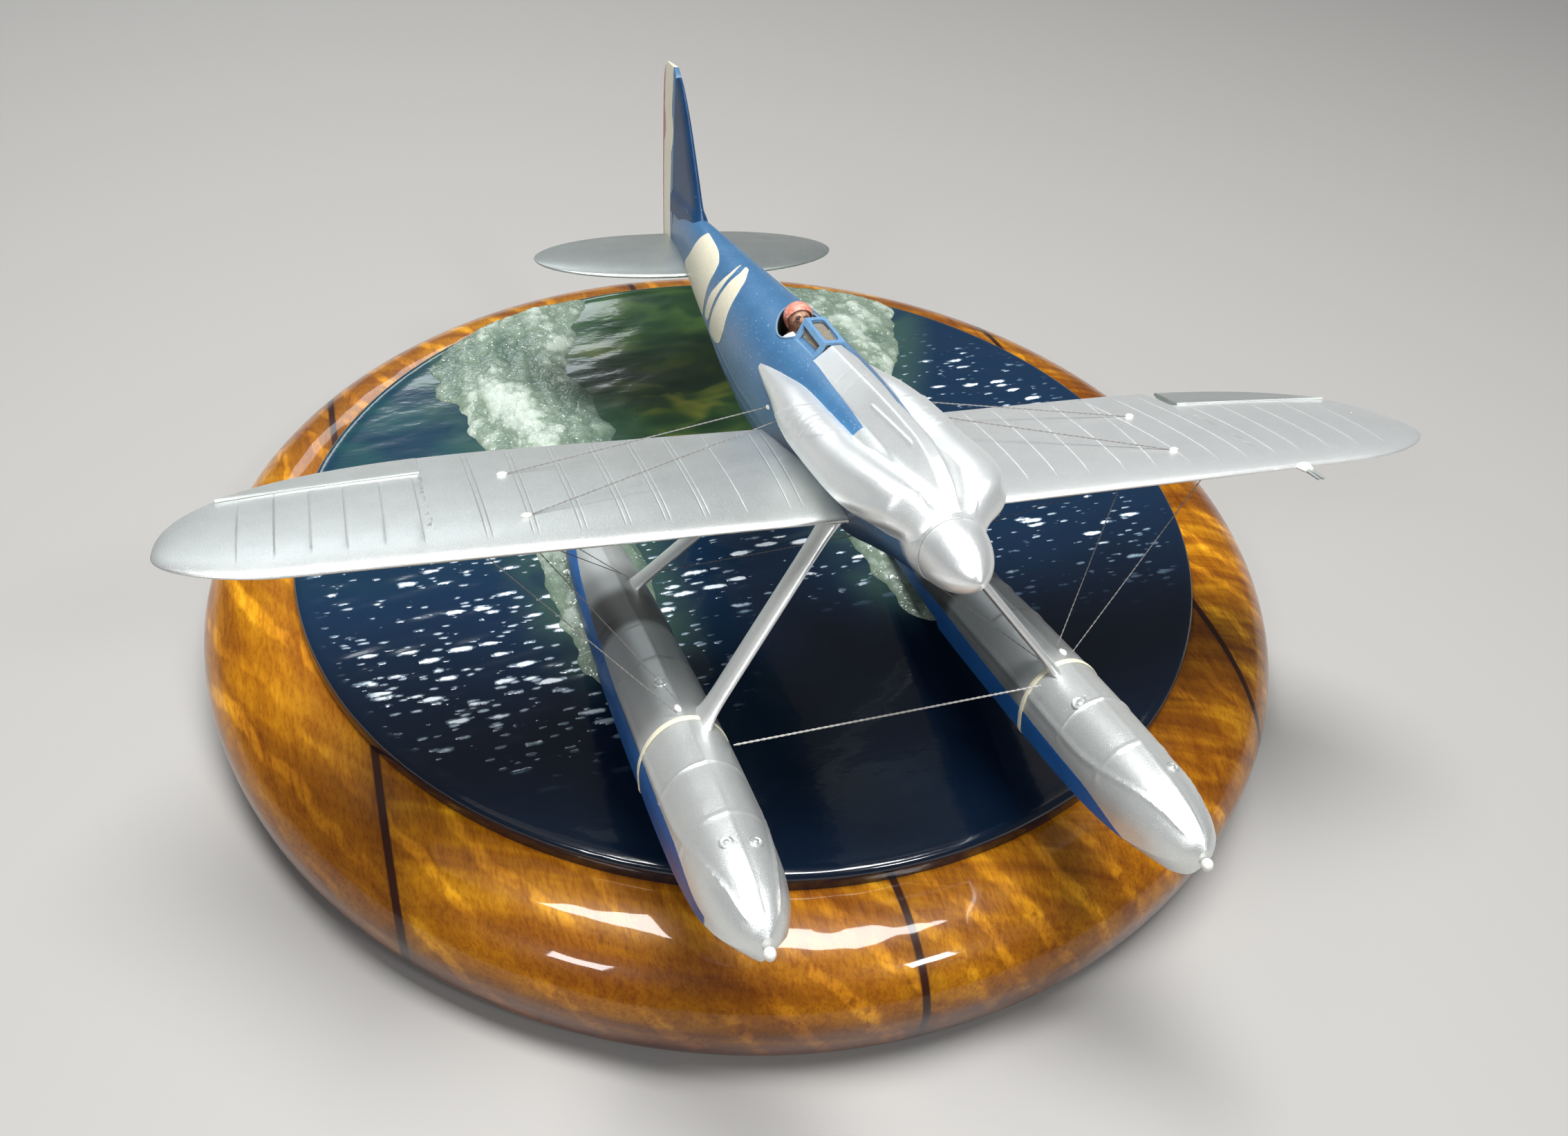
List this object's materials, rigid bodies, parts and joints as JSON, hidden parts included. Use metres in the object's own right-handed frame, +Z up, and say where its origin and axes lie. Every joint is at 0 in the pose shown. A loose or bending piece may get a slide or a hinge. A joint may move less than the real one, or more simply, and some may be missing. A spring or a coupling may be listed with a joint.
{
  "type": "scale model of a racing floatplane on a display plinth",
  "caption": "Small plastic display model of a low-wing wire-braced racing floatplane, planing over a cast sea disc on a round turned wooden plinth; the spinner turns.",
  "frame": {"origin": "centre of the plinth's flat underside", "axes": "+Z up out of the plinth, -Y the way the aircraft points, +X to its port side"},
  "size_m": [0.1244, 0.1316, 0.0569],
  "materials": {
    "plinth_wood": "amber varnished segmented hardwood, high gloss",
    "sea_resin": "cast resin painted navy, teal between the wakes, glossy with small white ripples",
    "wake_foam": "stippled pearly white paste, semi-gloss",
    "blue_paint": "satin mid-blue model paint with cream and red markings",
    "silver_paint": "fine-grained silver model paint",
    "float_paint": "silver decks over deep blue lower sides",
    "clear_plastic": "clear moulded plastic, faintly brown",
    "pilot_paint": "matte hand-painted figure",
    "cream_paint": "matte cream paint",
    "cream_thread": "taut twisted thread, stiffened with paint"
  },
  "bodies": {
    "spinner": {"spinner": "silver_paint"},
    "model": {"plinth_base": "plinth_wood", "sea_disc": "sea_resin", "wake_port": "wake_foam", "wake_starboard": "wake_foam", "fuselage": "blue_paint", "fin": "blue_paint", "rudder": "blue_paint", "windscreen_frame": "blue_paint", "windscreen_glass": "clear_plastic", "pilot": "pilot_paint", "bank_fairing_centre": "silver_paint", "bank_fairing_port": "silver_paint", "bank_fairing_starboard": "silver_paint", "wing_port": "silver_paint", "wing_starboard": "silver_paint", "aileron_port": "silver_paint", "aileron_starboard": "silver_paint", "tailplane_port": "silver_paint", "tailplane_starboard": "silver_paint", "pitot": "silver_paint", "strut_front_port": "silver_paint", "strut_front_starboard": "silver_paint", "strut_rear_port": "silver_paint", "strut_rear_starboard": "silver_paint", "float_port": "float_paint", "float_starboard": "float_paint", "bow_fender_port": "cream_paint", "bow_fender_starboard": "cream_paint", "landing_wire_front_port": "cream_thread", "landing_wire_front_starboard": "cream_thread", "landing_wire_rear_port": "cream_thread", "landing_wire_rear_starboard": "cream_thread", "flying_wire_front_port": "cream_thread", "flying_wire_front_starboard": "cream_thread", "flying_wire_rear_port": "cream_thread", "flying_wire_rear_starboard": "cream_thread", "spreader_wire": "cream_thread"}
  },
  "joints": [
    {"name": "spinner_spin", "type": "hinge", "parent": "model", "child": "spinner", "pos_m": [-0.0011, -0.05001, 0.05238], "axis": [0, -0.9781, 0.2079], "continuous": true}
  ]
}
